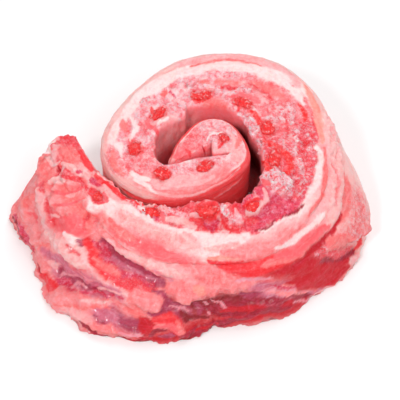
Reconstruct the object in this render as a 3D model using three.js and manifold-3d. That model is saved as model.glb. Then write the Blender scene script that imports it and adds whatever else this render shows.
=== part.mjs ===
// A strip of raw pork belly with its ribs in, rolled up loosely and stood on its cut edge.
//
// The strip is a flat box in slab coordinates, which is then rolled up:
//   along   0 .. 17   stations along the strip, one for each rib's pitch, from the loose end
//   depth   0 .. 1    from the rind side to the rib side
//   height  0 .. 1    from the foot to the top cut
// Millimetres, +Z up. The origin is in the middle of the footprint, at the foot.

import * as THREE from 'three';
import { mergeVertices } from 'three/addons/utils/BufferGeometryUtils.js';
import Module from 'manifold-3d';

// ---- the roll ---------------------------------------------------------------------------

// Where the roll's axis stands, from the middle of the footprint.
const ROLL_AXIS = [16.9, 4.3];

// x, y: where the rib line stands, from the roll's axis. The offsets are from the rib line:
// inner to the rib side, rim to the rind at the top cut, foot to the rind at the foot.
// crest and edge are the height of the top cut at the rib side and at the rind.
const STATIONS = [
  { x: -98, y: 18, inner: 7.5, rim: 14, foot: 47, crest: 60, edge: 57 },   // loose end
  { x: -84, y: -6, inner: 7, rim: 15, foot: 48, crest: 59, edge: 54 },
  { x: -62, y: -28, inner: 7, rim: 18, foot: 62.5, crest: 55, edge: 47 },
  { x: -37, y: -40, inner: 9.5, rim: 25, foot: 62.5, crest: 52, edge: 42 },  // front
  { x: -5, y: -41, inner: 13, rim: 26, foot: 50.5, crest: 52, edge: 38 },
  { x: 25, y: -35, inner: 8, rim: 30, foot: 51.5, crest: 56, edge: 43 },
  { x: 40, y: -4, inner: 6.5, rim: 38, foot: 65, crest: 62, edge: 56 },     // right
  { x: 36, y: 24, inner: 11, rim: 43, foot: 54, crest: 64, edge: 63 },
  { x: 19, y: 44, inner: 8, rim: 45.5, foot: 50, crest: 65, edge: 66 },     // back
  { x: -8, y: 51, inner: 8, rim: 37, foot: 39, crest: 65, edge: 66 },
  { x: -36, y: 37, inner: 8, rim: 25.5, foot: 27, crest: 65, edge: 66 },
  { x: -50, y: 8, inner: 11.5, rim: 23.5, foot: 23.5, crest: 65, edge: 64 },    // left
  { x: -35, y: -12, inner: 7, rim: 15.5, foot: 14, crest: 64, edge: 58 },
  { x: -8, y: -7, inner: 8.5, rim: 15, foot: 14, crest: 62, edge: 57 },   // inner coil
  { x: 14, y: 4, inner: 3, rim: 10.5, foot: 10.5, crest: 62, edge: 60 },
  { x: 1.5, y: 20, inner: 7, rim: 15.5, foot: 15.5, crest: 62, edge: 62 },
  { x: -13, y: 15, inner: 9.5, rim: 10.5, foot: 10.5, crest: 61, edge: 61 },
  { x: -25.5, y: 2.4, inner: 3.5, rim: 4.5, foot: 4.5, crest: 60, edge: 59 },     // heart of the roll
];

// The rind side swells between rim and foot where the strip leans outwards.
const SWELL = 5;
const SWELL_LEAN = 25;

// Rounding of the top cut's edges at the rind, at the rib side and at the two ends.
const RIND_ROUND = 6;
const RIB_ROUND = 3;
const END_ROUND = 7;

// A station's length on the rind side of the outer turn, where the strands lie, and at the
// strip's two ends, and the length of the outer turn's rind side from foot to rim.
const RIND_PITCH = 36;
const END_PITCH = 20;
const RIND_RISE = 62;

// ---- relief -----------------------------------------------------------------------------

// Ridges and furrows on the rind side, each from one point to another.
// from, to: [along, height]; wide: half width, and out: how far it stands out.
const RIND_STRANDS = [
  { from: [1.15, 0.93], to: [1.65, 0.9], wide: 8, out: 6 },      // knuckle of fat
  { from: [0.25, 0.88], to: [0.9, 0.74], wide: 6, out: 4 },      // fat ridge under the loose end
  { from: [1.2, 0.68], to: [2.0, 0.68], wide: 5, out: 3.5 },
  { from: [0.3, 0.45], to: [0.55, 0.15], wide: 9, out: 4 },      // lobes at the left foot
  { from: [2.0, 0.9], to: [3.3, 0.78], wide: 6, out: -4.5 },     // furrow between fat and lean
  { from: [2.1, 0.97], to: [3.3, 0.93], wide: 5, out: 2 },       // lip over the furrow
  { from: [3.1, 0.74], to: [3.75, 0.68], wide: 6, out: 3.5 },    // hanging lobes of fat
  { from: [2.3, 0.68], to: [3.2, 0.55], wide: 5, out: 3 },
  { from: [1.6, 0.3], to: [2.9, 0.42], wide: 7, out: -3 },       // lean between the fat strips
  { from: [1.9, 0.1], to: [3.1, 0.22], wide: 7, out: 3 },
  { from: [3.7, 0.48], to: [4.8, 0.5], wide: 8, out: -3 },
  { from: [0, 0.8], to: [0.15, 0.4], wide: 10, out: -6.5 },        // hollow beside the loose end
  { from: [3.45, 0.05], to: [3.8, 0.05], wide: 8, out: 2.5 },     // lobes of lean at the foot
  { from: [5.4, 0.05], to: [5.6, 0.08], wide: 9, out: 4.5 },
];

// The flap of rind that stands off the right side, over the layers below it.
// Its free edge runs up the side from the corner, and steps back over the height of its lip.
const FLAP = { from: 5, corner: 5.85, to: 6.5, out: 10, cornerHeight: 0.38, rise: 0.5, lip: 0.12 };

// Humps and hollows of the top cut. at: [along, depth]; wide: [stations, depth]; up.
const CUT_HUMPS = [
  { at: [3.05, 0.72], wide: [0.35, 0.14], up: 2 },
  { at: [4.05, 0.86], wide: [0.3, 0.1], up: 3 },
  { at: [4.3, 0.62], wide: [0.35, 0.13], up: -4 },
  { at: [5.1, 0.62], wide: [0.3, 0.13], up: -3 },
  { at: [5.75, 0.42], wide: [0.6, 0.16], up: -3 },
  { at: [6.9, 0.55], wide: [0.9, 0.25], up: -1.5 },
  { at: [0.75, 0.5], wide: [0.4, 0.5], up: 3 },
  { at: [1.3, 0.55], wide: [0.25, 0.35], up: -5 },
];

// The rib side bulges over each rib, less and less towards the inner coil.
const RIB_BULGE = { out: 1.5, wide: 0.25, fadeFrom: 11.2, fadeTo: 12.2 };

// Folds of the rib side: each steps inwards at its crest, and eases back.
const RIB_FOLDS = [
  { from: 9.4, crest: 9.6, to: 10.5, out: 5.5 },
  { from: 14, crest: 14.45, to: 15, out: 9 },
];

// How far the middles of the strip's two ends stand out, and over how many stations.
const KNOBS = { loose: 6.5, heart: 4, reach: 0.6 };

// Unevenness of the rind side and of the foot's outline: [waves per station, amount].
const WAVES = [[0.9, 0.9], [1.7, 0.7], [3.1, 0.5]];
const WAVE_SLANT = 5;

// Relief of the rind side fades where the outer turn ends and the turns lie close together.
const RELIEF_FADE = { from: 8, to: 9.5 };

// ---- ribs -------------------------------------------------------------------------------

// along: place on the strip; out: from the rib line to the rind side; half: half the rib's
// width and thickness; proud: how far the sawn end stands out of the top cut.
const RIBS = [
  { along: 1.63, out: 4, half: [4, 3], proud: 0.4 },
  { along: 2.89, out: -3.4, half: [6, 3.5], proud: 0.8 },
  { along: 4.05, out: -6.5, half: [7, 3.5], proud: 0.8 },
  { along: 5.07, out: -1.2, half: [5.5, 3], proud: 0.6 },
  { along: 6.15, out: -0.3, half: [7, 4], proud: 0.4 },
  { along: 6.98, out: 0.3, half: [6, 4.5], proud: 0.4 },
  { along: 7.96, out: 1, half: [6.5, 4], proud: 0.3 },
  { along: 8.96, out: -0.4, half: [7, 3.8], proud: 0.3 },
  { along: 10.06, out: -1.2, half: [7, 3.2], proud: 0.3 },
  { along: 11.08, out: 0.8, half: [5, 4.2], proud: 0.5 },
  { along: 12.1, out: 0, half: [5, 4], proud: 1.5 },
  { along: 13.12, out: -0.5, half: [5.5, 3.2], proud: 0.4 },
  { along: 14.7, out: 1, half: [4.5, 2.5], proud: 0.3 },
];
const RIB_GAP = 0.3;           // clearance between a rib and the meat round it
const RIB_FOOT = 0.3;          // the ribs end just above the foot
const RIB_WAIST = 0.12;        // a rib is this much thinner halfway down
const CHANNEL_OVERRUN = 8;     // how far a rib's channel runs past the meat

// ---- mesh density -----------------------------------------------------------------------

const STEPS = { along: 136, depth: 6, height: 9 };
const RIB_STEPS = { around: 10, height: 4 };

// ---- materials --------------------------------------------------------------------------

const PORK = new THREE.MeshStandardMaterial({ color: 0xf08f8f, roughness: 0.42, metalness: 0 });
const RIB = new THREE.MeshStandardMaterial({ color: 0xd8343a, roughness: 0.55, metalness: 0 });

// ---- rolling up -------------------------------------------------------------------------

const LAST = STATIONS.length - 1;
const curve = (pick) => new THREE.CatmullRomCurve3(
  STATIONS.map((s) => new THREE.Vector3(...pick(s))), false, 'catmullrom', 0.5);
const ribLine = curve((s) => [s.x, s.y, 0]);
const offsets = curve((s) => [s.inner, s.rim, s.foot]);
const heights = curve((s) => [s.crest, s.edge, 0]);

const bell = (x) => Math.exp(-x * x);
const mix = THREE.MathUtils.lerp;
const smooth = THREE.MathUtils.smoothstep;

function station(along) {
  const t = along / LAST;
  const place = ribLine.getPoint(t);
  const way = ribLine.getTangent(t);
  const [inner, rim, foot] = offsets.getPoint(t).toArray();
  const [crest, edge] = heights.getPoint(t).toArray();
  return { place, way, out: new THREE.Vector3(way.y, -way.x, 0), inner, rim, foot, crest, edge };
}

// How far a ridge or furrow stands out at a point of the rind side.
function strand({ from, to, wide, out }, along, height) {
  const line = new THREE.Line3(
    new THREE.Vector3(from[0] * RIND_PITCH, from[1] * RIND_RISE, 0),
    new THREE.Vector3(to[0] * RIND_PITCH, to[1] * RIND_RISE, 0));
  const here = new THREE.Vector3(along * RIND_PITCH, height * RIND_RISE, 0);
  const nearest = line.closestPointToPoint(here, true, new THREE.Vector3());
  return out * bell(here.distanceTo(nearest) / wide);
}

// The flap stands out most at its free lower edge, and lies on again at the rim.
function flap(along, height) {
  if (along <= FLAP.from || along >= FLAP.to) return 0;
  const side = along < FLAP.corner
    ? smooth(along, FLAP.from, FLAP.corner)
    : 1 - smooth(along, FLAP.corner, FLAP.to);
  const edge = FLAP.cornerHeight + FLAP.rise * Math.max(0, FLAP.corner - along);
  return FLAP.out * side * smooth(height, edge - FLAP.lip, edge) * (1 - smooth(height, edge, 1));
}

function rindRelief(along, height) {
  const strands = RIND_STRANDS.reduce((sum, s) => sum + strand(s, along, height), 0);
  const waves = WAVES.reduce(
    (sum, [rate, amount]) =>
      sum + amount * Math.sin(2 * Math.PI * rate * along + WAVE_SLANT * height), 0);
  const free = 1 - smooth(along, RELIEF_FADE.from, RELIEF_FADE.to);
  return (strands + waves * (1 - height)) * free + flap(along, height);
}

function ribBulge(along) {
  const near = RIBS.reduce((sum, rib) => sum + bell((along - rib.along) / RIB_BULGE.wide), 0);
  return RIB_BULGE.out * near * (1 - smooth(along, RIB_BULGE.fadeFrom, RIB_BULGE.fadeTo));
}

function ribFolds(along) {
  let total = 0;
  for (const { from, crest, to, out } of RIB_FOLDS) {
    total += out * smooth(along, from, crest) * (1 - smooth(along, crest, to));
  }
  return total;
}

// How far a point near one of the ends moves along the strip.
function knob(along, depth) {
  const loose = KNOBS.loose * (1 - smooth(along, 0, KNOBS.reach));
  const heart = KNOBS.heart * smooth(along, LAST - KNOBS.reach, LAST);
  return (heart - loose) * 4 * depth * (1 - depth);
}

function cutRelief(along, depth) {
  return CUT_HUMPS.reduce((sum, { at, wide, up }) =>
    sum + up * bell((along - at[0]) / wide[0]) * bell((depth - at[1]) / wide[1]), 0);
}

// Moves a point near a square edge onto a rounded one: a, b are its distances from the
// edge's two faces, and the result says how far it moves away from each.
function rounded(a, b, radius) {
  const p = radius - a;
  const q = radius - b;
  if (p <= 0 || q <= 0) return [0, 0];
  const pull = Math.max(p, q) / Math.hypot(p, q);
  return [p * (1 - pull), q * (1 - pull)];
}

// The strip's point at its slab coordinates, rolled up, from the roll's axis.
function slabPoint(along, depth, height) {
  const s = station(along);
  const top = mix(s.rim, -s.inner, depth);
  const low = mix(s.foot, -s.inner, depth);
  const leaning = THREE.MathUtils.clamp((s.foot - s.rim) / SWELL_LEAN, 0, 1);
  let out = mix(low, top, height) + SWELL * leaning * 4 * height * (1 - height) * (1 - depth);
  const level = mix(s.edge, s.crest, depth);
  let up = level * height;

  const skin = (1 - depth) ** 2;
  out += rindRelief(along, height) * skin;
  out -= (ribBulge(along) + ribFolds(along)) * depth ** 4;
  up += cutRelief(along, depth) * height ** 4;

  const width = s.rim + s.inner;
  const below = level * (1 - height);
  const [rindIn, rindDown] = rounded(depth * width, below, RIND_ROUND);
  const [ribIn, ribDown] = rounded((1 - depth) * width, below, RIB_ROUND);
  const [endIn, endDown] = rounded(along * END_PITCH, below, END_ROUND);
  const [heartIn, heartDown] = rounded((LAST - along) * END_PITCH, below, END_ROUND);
  out += ribIn - rindIn;
  up -= rindDown + ribDown + endDown + heartDown;
  return s.place.clone()
    .addScaledVector(s.out, out)
    .addScaledVector(s.way, endIn - heartIn + knob(along, depth))
    .setZ(up);
}

// ---- solids -----------------------------------------------------------------------------

// Lattice lines lie closer together near the faces' edges.
const ease = (x) => x - 0.06 * Math.sin(2 * Math.PI * x);

function bare(geometry) {
  geometry.deleteAttribute('normal');
  geometry.deleteAttribute('uv');
  return mergeVertices(geometry);
}

function bend(geometry, place) {
  const position = geometry.getAttribute('position');
  for (let i = 0; i < position.count; i++) {
    const to = place(position.getX(i), position.getY(i), position.getZ(i));
    position.setXYZ(i, to.x + ROLL_AXIS[0], to.y + ROLL_AXIS[1], to.z);
  }
  return geometry;
}

// The box's X runs along the strip, Y through its depth (to the rib side), Z up.
function slabGeometry() {
  const box = bare(new THREE.BoxGeometry(1, 1, 1, STEPS.along, STEPS.depth, STEPS.height));
  return bend(box, (x, y, z) => slabPoint((x + 0.5) * LAST, ease(y + 0.5), ease(z + 0.5)));
}

// A rib stands upright in the strip. spare makes it fatter and longer, for its channel.
function ribGeometry({ along, out, half, proud }, spare, overrun) {
  const s = station(along);
  const width = s.rim + s.inner;
  const top = slabPoint(along, (s.rim - out) / width, 1).z + proud + overrun;
  const foot = RIB_FOOT - overrun;
  const cylinder = bare(new THREE.CylinderGeometry(1, 1, 1, RIB_STEPS.around, RIB_STEPS.height));
  return bend(cylinder, (x, y, z) => {
    const height = y + 0.5;
    const waist = 1 - RIB_WAIST * Math.sin(Math.PI * height);
    return s.place.clone()
      .addScaledVector(s.way, x * (half[0] * waist + spare))
      .addScaledVector(s.out, out + z * (half[1] * waist + spare))
      .setZ(mix(foot, top, height));
  });
}

const wasm = await Module();
wasm.setup();

function toManifold(geometry) {
  return new wasm.Manifold(new wasm.Mesh({
    numProp: 3,
    vertProperties: new Float32Array(geometry.getAttribute('position').array),
    triVerts: new Uint32Array(geometry.getIndex().array),
  }));
}

function toGeometry(solid) {
  const mesh = solid.getMesh();
  const geometry = new THREE.BufferGeometry();
  geometry.setAttribute('position', new THREE.BufferAttribute(mesh.vertProperties, 3));
  geometry.setIndex(new THREE.BufferAttribute(mesh.triVerts, 1));
  geometry.computeVertexNormals();
  return geometry;
}

function named(name, geometry, material) {
  const mesh = new THREE.Mesh(geometry, material);
  mesh.name = name;
  return mesh;
}

const pork = new THREE.Group();

const channels = RIBS.map((rib) => toManifold(ribGeometry(rib, RIB_GAP, CHANNEL_OVERRUN)));
const slab = channels.reduce((solid, channel) => solid.subtract(channel), toManifold(slabGeometry()));
pork.add(named('belly_slab', toGeometry(slab), PORK));

RIBS.forEach((rib, i) => {
  const name = `rib_${String(i + 1).padStart(2, '0')}`;
  pork.add(named(name, toGeometry(toManifold(ribGeometry(rib, 0, 0))), RIB));
});

export default pork;
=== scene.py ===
"""A strip of raw pork belly with its ribs in, rolled up loosely and stood on its cut edge.

The strip is made in slab coordinates, as the solid is, and rolled up with the same stations:
  along   0 .. 17  stations along the strip, one for each rib's pitch, from the loose end
  depth   0 .. 1   from the rind side to the rib side
  height  0 .. 1   from the foot to the top cut
Girth goes once round the strip's section: -1 .. 0 up the rind side, 0 .. 1 across the top cut,
1 .. 2 down the rib side and 2 .. 3 back under the foot. Lengths are millimetres until a mesh
is made.
"""

import bpy
import numpy as np
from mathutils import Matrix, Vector


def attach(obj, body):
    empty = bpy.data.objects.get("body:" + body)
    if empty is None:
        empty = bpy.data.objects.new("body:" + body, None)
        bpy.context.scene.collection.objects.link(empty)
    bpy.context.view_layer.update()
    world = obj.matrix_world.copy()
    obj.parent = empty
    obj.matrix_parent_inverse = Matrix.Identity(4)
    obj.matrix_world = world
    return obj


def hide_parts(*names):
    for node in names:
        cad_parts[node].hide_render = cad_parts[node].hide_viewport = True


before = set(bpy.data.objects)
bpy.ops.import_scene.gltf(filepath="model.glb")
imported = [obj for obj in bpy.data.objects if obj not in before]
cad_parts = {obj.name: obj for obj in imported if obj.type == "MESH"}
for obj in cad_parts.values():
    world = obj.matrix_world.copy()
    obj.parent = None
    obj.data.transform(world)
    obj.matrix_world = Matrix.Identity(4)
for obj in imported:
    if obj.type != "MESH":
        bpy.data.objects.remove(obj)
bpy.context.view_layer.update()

MM = 0.001

# ---- the roll

ROLL_AXIS = (16.9, 4.3)

# x, y of the rib line from the roll's axis; offsets from it to the rib side, to the rind at
# the top cut and to the rind at the foot; the top cut's height at the rib side and the rind.
STATIONS = np.array([
    (-98, 18, 7.5, 14, 47, 60, 57),  # loose end
    (-84, -6, 7, 15, 48, 59, 54),
    (-62, -28, 7, 18, 62.5, 55, 47),
    (-37, -40, 9.5, 25, 62.5, 52, 42),  # front
    (-5, -41, 13, 26, 50.5, 52, 38),
    (25, -35, 8, 30, 51.5, 56, 43),
    (40, -4, 6.5, 38, 65, 62, 56),  # right
    (36, 24, 11, 43, 54, 64, 63),
    (19, 44, 8, 45.5, 50, 65, 66),  # back
    (-8, 51, 8, 37, 39, 65, 66),
    (-36, 37, 8, 25.5, 27, 65, 66),
    (-50, 8, 11.5, 23.5, 23.5, 65, 64),  # left
    (-35, -12, 7, 15.5, 14, 64, 58),
    (-8, -7, 8.5, 15, 14, 62, 57),  # inner coil
    (14, 4, 3, 10.5, 10.5, 62, 60),
    (1.5, 20, 7, 15.5, 15.5, 62, 62),
    (-13, 15, 9.5, 10.5, 10.5, 61, 61),
    (-25.5, 2.4, 3.5, 4.5, 4.5, 60, 59),  # heart of the roll
], dtype=float)
LAST = len(STATIONS) - 1

SWELL = 5
SWELL_LEAN = 25
RIND_ROUND = 6
RIB_ROUND = 3
END_ROUND = 7
RIND_PITCH = 36
END_PITCH = 20
RIND_RISE = 62

# Ridges and furrows of the rind side: from, to (along, height), half width, how far out.
RIND_STRANDS = [
    ((1.15, 0.93), (1.65, 0.9), 8, 6),  # knuckle of fat
    ((0.25, 0.88), (0.9, 0.74), 6, 4),  # fat ridge under the loose end
    ((1.2, 0.68), (2.0, 0.68), 5, 3.5),
    ((0.3, 0.45), (0.55, 0.15), 9, 4),  # lobes at the left foot
    ((2.0, 0.9), (3.3, 0.78), 6, -4.5),  # furrow between fat and lean
    ((2.1, 0.97), (3.3, 0.93), 5, 2),  # lip over the furrow
    ((3.1, 0.74), (3.75, 0.68), 6, 3.5),  # hanging lobes of fat
    ((2.3, 0.68), (3.2, 0.55), 5, 3),
    ((1.6, 0.3), (2.9, 0.42), 7, -3),  # lean between the fat strips
    ((1.9, 0.1), (3.1, 0.22), 7, 3),
    ((3.7, 0.48), (4.8, 0.5), 8, -3),
    ((0, 0.8), (0.15, 0.4), 10, -6.5),  # hollow beside the loose end
    ((3.45, 0.05), (3.8, 0.05), 8, 2.5),  # lobes of lean at the foot
    ((5.4, 0.05), (5.6, 0.08), 9, 4.5),
]

# The flap of rind that stands off the right side. Its lip hangs down over a hollow.
FLAP_FROM, FLAP_CORNER, FLAP_TO = 5.0, 5.85, 6.5
FLAP_OUT = 10
FLAP_CORNER_HEIGHT = 0.38
FLAP_RISE = 0.5
FLAP_LIP = 0.03
FLAP_DROP = 4

# Humps and hollows of the top cut: at (along, depth), size (along, depth), how far up.
CUT_HUMPS = [
    ((3.05, 0.72), (0.35, 0.14), 2),
    ((4.05, 0.86), (0.3, 0.1), 3),
    ((4.3, 0.62), (0.35, 0.13), -4),
    ((5.1, 0.62), (0.3, 0.13), -3),
    ((5.75, 0.42), (0.6, 0.16), -3),
    ((6.9, 0.55), (0.9, 0.25), -1.5),
    ((0.75, 0.5), (0.4, 0.5), 3),
    ((1.3, 0.55), (0.25, 0.35), -5),
]

RIB_BULGE = 1.5
RIB_BULGE_WIDE = 0.25
RIB_BULGE_FADE = (11.2, 12.2)
RIB_FOLDS = [(9.4, 9.6, 10.5, 5.5), (14, 14.45, 15, 9)]  # from, crest, to, how far out
LOOSE_KNOB, HEART_KNOB, KNOB_REACH = 6.5, 4, 0.6
WAVES = [(0.9, 0.9), (1.7, 0.7), (3.1, 0.5)]
WAVE_SLANT = 5
RELIEF_FADE = (8, 9.5)

# Each rib: place along the strip, offset from the rib line, half width and half thickness,
# and how far its sawn end stands out of the top cut.
RIBS = [
    (1.63, 4, (4, 3), 0.4),
    (2.89, -3.4, (6, 3.5), 0.8),
    (4.05, -6.5, (7, 3.5), 0.8),
    (5.07, -1.2, (5.5, 3), 0.6),
    (6.15, -0.3, (7, 4), 0.4),
    (6.98, 0.3, (6, 4.5), 0.4),
    (7.96, 1, (6.5, 4), 0.3),
    (8.96, -0.4, (7, 3.8), 0.3),
    (10.06, -1.2, (7, 3.2), 0.3),
    (11.08, 0.8, (5, 4.2), 0.5),
    (12.1, 0, (5, 4), 1.5),
    (13.12, -0.5, (5.5, 3.2), 0.4),
    (14.7, 1, (4.5, 2.5), 0.3),
]

# ---- tissues

# Colour (sRGB), then how granular, lumpy, streaky and glossy each tissue is, from 0 to 1.
TISSUES = {
    "rind": ((253, 184, 181), 0.05, 0.1, 0.6, 0.5),
    "coil rind": ((255, 84, 88), 0.0, 0.05, 0.5, 0.8),
    "orange": ((250, 148, 136), 0.05, 0.1, 0.5, 0.6),
    "flap": ((251, 140, 143), 0.6, 0.2, 0.2, 0.4),
    "white": ((253, 215, 214), 0.05, 0.2, 0.2, 0.4),
    "fat": ((252, 180, 179), 0.15, 0.5, 0.2, 0.5),
    "rose": ((252, 170, 172), 0.1, 0.3, 0.4, 0.5),
    "pink fat": ((251, 133, 136), 0.1, 0.5, 0.3, 0.5),
    "lobes": ((251, 138, 140), 0.1, 1.0, 0.1, 0.5),
    "coral": ((250, 116, 116), 0.1, 0.3, 0.4, 0.5),
    "salmon": ((250, 96, 104), 0.05, 0.2, 0.4, 0.6),
    "pale meat": ((250, 174, 182), 0.6, 0.3, 0.0, 0.4),
    "flecked": ((252, 182, 190), 1.0, 0.6, 0.0, 0.5),
    "pink meat": ((248, 126, 134), 0.5, 0.3, 0.1, 0.5),
    "lean": ((240, 68, 80), 0.45, 0.3, 0.3, 0.6),
    "crumb": ((248, 112, 124), 1.0, 0.4, 0.0, 0.4),
    "magenta": ((226, 60, 92), 0.5, 0.3, 0.1, 0.6),
    "bright": ((240, 38, 48), 0.12, 0.2, 0.5, 0.6),
    "scarlet": ((250, 40, 42), 0.5, 0.2, 0.1, 0.7),
    "crimson": ((164, 8, 36), 0.1, 0.3, 0.4, 0.9),
    "ruby": ((202, 8, 28), 0.1, 0.2, 0.3, 0.5),
    "deep": ((146, 6, 22), 0.1, 0.3, 0.2, 1.0),
    # Painted shade: near black, laid where the roll's gaps are deep
    "gap shade": ((70, 0, 4), 0.0, 0.1, 0.1, 0.6),
    "purple": ((178, 46, 78), 0.1, 0.3, 0.5, 1.0),
    "mauve": ((214, 100, 126), 0.1, 0.3, 0.6, 1.0),
    "silver": ((236, 140, 154), 0.05, 0.2, 0.6, 1.0),
    "membrane": ((254, 130, 138), 0.0, 0.1, 0.2, 0.7),
}
GRAIN, LUMP, STREAK, GLOSS = 3, 4, 5, 6

# What a tissue's linear colour is multiplied by in its creases and in the hollows of its grains and
# streaks, painted shade partly over their own dimmer tone, and its powers on its crests and raised
# streaks, painted light partly over their own paler tone, and in its palest flecks.
HOLLOW_SHADE_AND_GRAIN = np.array([0.98, 0.5, 0.52])
RISE_LIGHT_AND_GRAIN, FLECK = 0.72, 0.45

# The top cut by station: along, width of the rind and of rind and fat together from the rim,
# and the tissue of the meat beyond them.
CUT_LAYERS = [
    (0, 0, 0, "lean"), (0.9, 0, 0, "lean"), (1.3, 0, 10, "fat"), (2, 0, 24, "pink meat"),
    (3, 0, 23, "crumb"), (4, 0, 20, "lean"), (4.6, 0, 16, "lean"), (5, 0, 14, "magenta"),
    (5.5, 3, 11, "magenta"), (6, 4, 10.5, "crumb"), (6.5, 7, 8, "crumb"),
    (7, 4, 8.7, "pink meat"), (7.5, 3.4, 9.6, "pink meat"), (8, 3.7, 12.4, "pink meat"),
    (8.5, 5.5, 17, "pale meat"), (9, 9, 19, "pale meat"), (9.5, 8.5, 16.4, "pale meat"),
    (10, 7.5, 14, "pale meat"), (10.5, 6, 10, "pale meat"), (11, 4.5, 11, "pale meat"),
    (11.5, 3, 7, "pink meat"), (12, 2, 7, "pale meat"), (13, 2, 4, "pale meat"),
    (14, 2.5, 3.5, "pale meat"), (15, 2.5, 3.2, "pale meat"), (16, 3, 4, "pink meat"),
    (17, 3, 3, "salmon"),
]

# Soft washes on the strip, and the frayed strokes over them: tissue, half width and how far out
# in millimetres, and the path, as places x,y in the picture from the main view.
WASHES = [
    # loose end on the left
    ("coral", 8, 0, 63,150, 74,160),
    ("rose", 3.4, 0, 53,148, 55,162),
    ("coral", 5, 1, 43,156, 44,166),
    ("coral", 5, 0, 46,172, 46,186),
    ("lobes", 13, 1.5, 64,190, 74,202),
    ("salmon", 11, 0, 54,216, 66,224, 86,228),
    ("coral", 8, 0, 94,218, 104,224),
    ("fat", 5, 1, 38,186, 42,204, 46,222),
    ("pink fat", 10, 1, 24,208, 28,226, 38,240),
    ("fat", 8, 1.5, 52,234, 76,259),
    ("pink fat", 7, 1, 43,252, 46,268),
    # strips of fat and lean at the front left
    ("rose", 6, 1, 84,264, 100,276, 122,291, 142,301),
    ("mauve", 9, -1, 58,268, 76,280, 96,288, 116,294),
    ("mauve", 5, 0, 46,250, 54,258, 66,264),
    ("pink fat", 7, 1.5, 48,293, 70,301, 100,304, 128,312),
    ("rose", 6, 0, 64,310, 86,318),
    ("coral", 6, 1.2, 102,326, 114,331),
    ("mauve", 7, -0.5, 98,313, 124,324),
    ("purple", 7, -0.5, 124,320, 134,328, 142,334),
    # front
    ("fat", 7, 0.5, 120,215, 144,229, 170,240, 196,246),
    ("salmon", 8, 0, 112,228, 132,241, 152,251, 172,258, 190,262),
    ("pink fat", 12, 0.5, 194,266, 212,275, 234,282, 250,284),
    ("rose", 6, 1, 150,262, 172,271, 190,280),
    ("pink fat", 9, 0, 244,249, 270,247, 298,233, 316,213),
    ("bright", 8, 0, 226,265, 244,268, 262,267, 284,259),
    ("crimson", 14, 0, 172,305, 210,309, 240,306, 270,301, 292,300),
    ("deep", 5, 0, 176,306, 200,304, 230,297, 258,295),
    ("ruby", 12, 0, 150,338, 180,334, 212,325, 240,318, 276,310, 300,303),
    # partly the lean's own red, partly painted shade under the flap
    ("ruby", 11, 0, 280,272, 300,266, 346,260),
    ("ruby", 8, 0, 290,281, 334,276),
    ("mauve", 6, 0, 256,287, 318,291),
    # shoulder and flap on the right
    ("rose", 8, 0, 320,140, 326,170, 324,196, 312,218),
    ("fat", 7, 0, 326,116, 334,140, 340,166),
    ("coral", 4, 0, 347,182, 349,204, 342,218),
    ("flap", 10, 0, 358,200, 362,220, 350,234),
    ("crumb", 6, 0, 322,250, 352,242),
    ("coral", 6, 0, 334,246, 348,246),
    # top cut, right and back
    ("coral", 6, 0, 250,84, 266,88, 282,98),
    ("coral", 4, 0, 216,82, 238,84),
    ("coral", 5, 0, 204,104, 226,107),
    ("flecked", 8, 0.6, 266,178, 284,184),
    ("magenta", 8, 0, 270,212, 286,206, 298,196),
    ("lean", 6, 0, 280,156, 290,166),
    ("crumb", 8, 0, 302,126, 306,150, 306,176, 298,194),
    ("pink meat", 5, 0, 112,152, 114,166, 124,173),
    ("pink meat", 5, 0, 122,122, 128,132),
    ("pink meat", 5, 0, 130,160, 146,166),
    ("pink meat", 5, 0, 142,124, 146,134),
    ("pale meat", 8, 0, 170,106, 178,116),
    # inner coil
    ("pink fat", 9, 0, 140,180, 160,188, 180,190, 204,182, 226,168),
    ("rose", 4, 0, 146,176, 172,182, 200,174),
    ("rose", 7, 0, 228,148, 236,158),
]

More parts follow.
